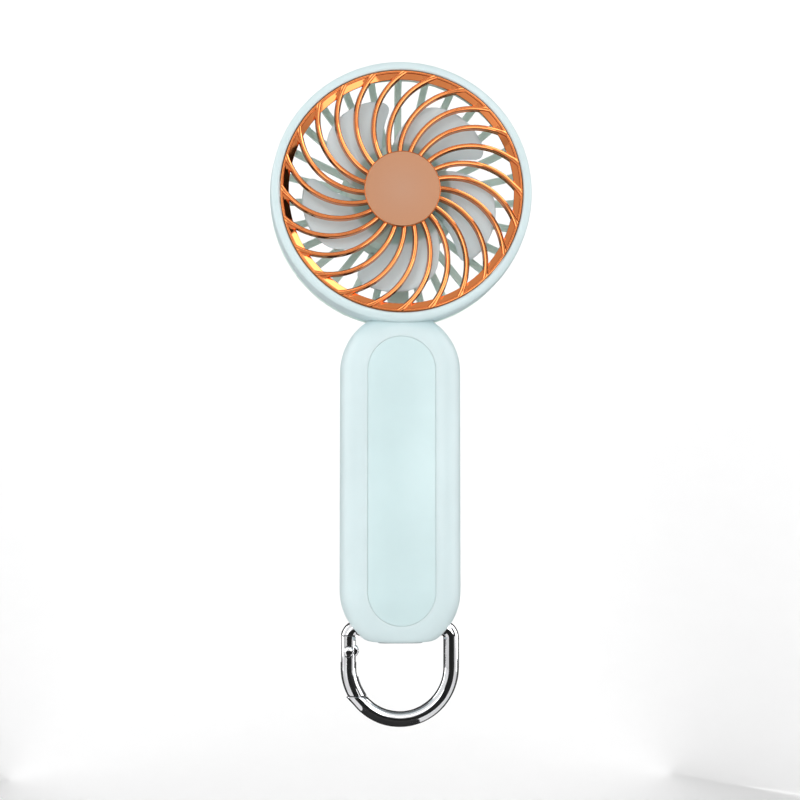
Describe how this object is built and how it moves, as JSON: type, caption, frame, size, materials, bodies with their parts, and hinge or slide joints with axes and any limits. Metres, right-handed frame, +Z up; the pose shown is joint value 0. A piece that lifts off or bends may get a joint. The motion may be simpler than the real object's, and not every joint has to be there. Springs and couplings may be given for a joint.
{
  "type": "handheld electric fan",
  "caption": "Slim handheld electric fan with a round swirl-grille head, capsule grip and a swinging D-shaped carabiner at the foot.",
  "frame": {"origin": "middle of the capsule grip, on its mid-plane, where a hand closes around it", "axes": "+Z up along the grip towards the fan head, -Y the way the fan faces and blows, +X to the right as seen from the front"},
  "size_m": [0.0868, 0.0306, 0.2196],
  "materials": {
    "shell_front": "satin mint ABS",
    "shell_rear": "satin mint ABS",
    "shell_grille": "satin mint ABS",
    "panel": "satin, slightly bluer mint",
    "foot": "soft grey",
    "rose_gold": "vacuum metallised rose gold",
    "satin_copper": "satin rose gold disc",
    "propeller": "smoke grey, slightly translucent",
    "shaft_steel": "ground",
    "winding": "enamelled winding on laminations",
    "copper": "copper",
    "motor_steel": "zinc plated",
    "black_plastic": "moulded",
    "magnet": "ferrite",
    "bronze": "sintered bronze",
    "screw_steel": "zinc plated",
    "cell_foil": "laminate pouch",
    "foam": "closed-cell foam",
    "board": "solder mask",
    "chips": "moulded",
    "port_steel": "drawn shell",
    "switch_frame": "stamped",
    "white_plastic": "moulded",
    "button": "gloss",
    "led": "clear lens",
    "light_guide": "clear acrylic",
    "lead_red": "insulation",
    "lead_black": "insulation",
    "chrome": "polished",
    "chrome_pin": "polished",
    "spring_steel": "drawn wire"
  },
  "bodies": {
    "case": {"front_housing": "shell_front", "rear_housing": "shell_rear", "front_panel": "panel", "foot_insert": "foot", "front_grille": "rose_gold", "grille_cap": "satin_copper", "rear_grille": "shell_grille", "hub_cover": "shell_grille", "motor_can": "motor_steel", "motor_end_cap": "black_plastic", "motor_magnets": "magnet", "shaft_bushes": "bronze", "motor_brushes": "copper", "motor_screws": "screw_steel", "battery_cell": "cell_foil", "battery_pad": "foam", "circuit_board": "board", "circuit_chips": "chips", "usb_port_shell": "port_steel", "usb_port_tongue": "black_plastic", "tact_switch": "switch_frame", "indicator_leds": "led", "light_guide": "light_guide", "motor_leads": "lead_red", "battery_leads": "lead_black", "housing_screws": "screw_steel", "board_screws": "screw_steel"},
    "rotor": {"propeller": "propeller", "motor_shaft": "shaft_steel", "rotor_core": "winding", "commutator": "copper"},
    "button": {"power_button": "button", "switch_plunger": "white_plastic"},
    "carabiner": {"carabiner_frame": "chrome", "gate_pin": "chrome_pin"},
    "gate": {"carabiner_gate": "chrome", "gate_spring": "spring_steel"}
  },
  "joints": [
    {"name": "rotor_spin", "type": "hinge", "parent": "case", "child": "rotor", "pos_m": [0, 0, 0.09515], "axis": [0, -1, 0], "continuous": true},
    {"name": "button_press", "type": "slide", "parent": "case", "child": "button", "axis": [0, -1, 0], "range_m": [0, 0.00035], "stiffness_N_per_m": 2500, "springref_m": -0.0002},
    {"name": "carabiner_swing", "type": "hinge", "parent": "case", "child": "carabiner", "pos_m": [0, 0, -0.04855], "axis": [1, 0, 0], "range_deg": [-55, 55]},
    {"name": "gate_open", "type": "hinge", "parent": "carabiner", "child": "gate", "pos_m": [-0.017, 0, -0.05625], "axis": [0, -1, 0], "range_deg": [0, 28], "stiffness_Nm_per_rad": 0.03, "springref_deg": -20.05}
  ]
}
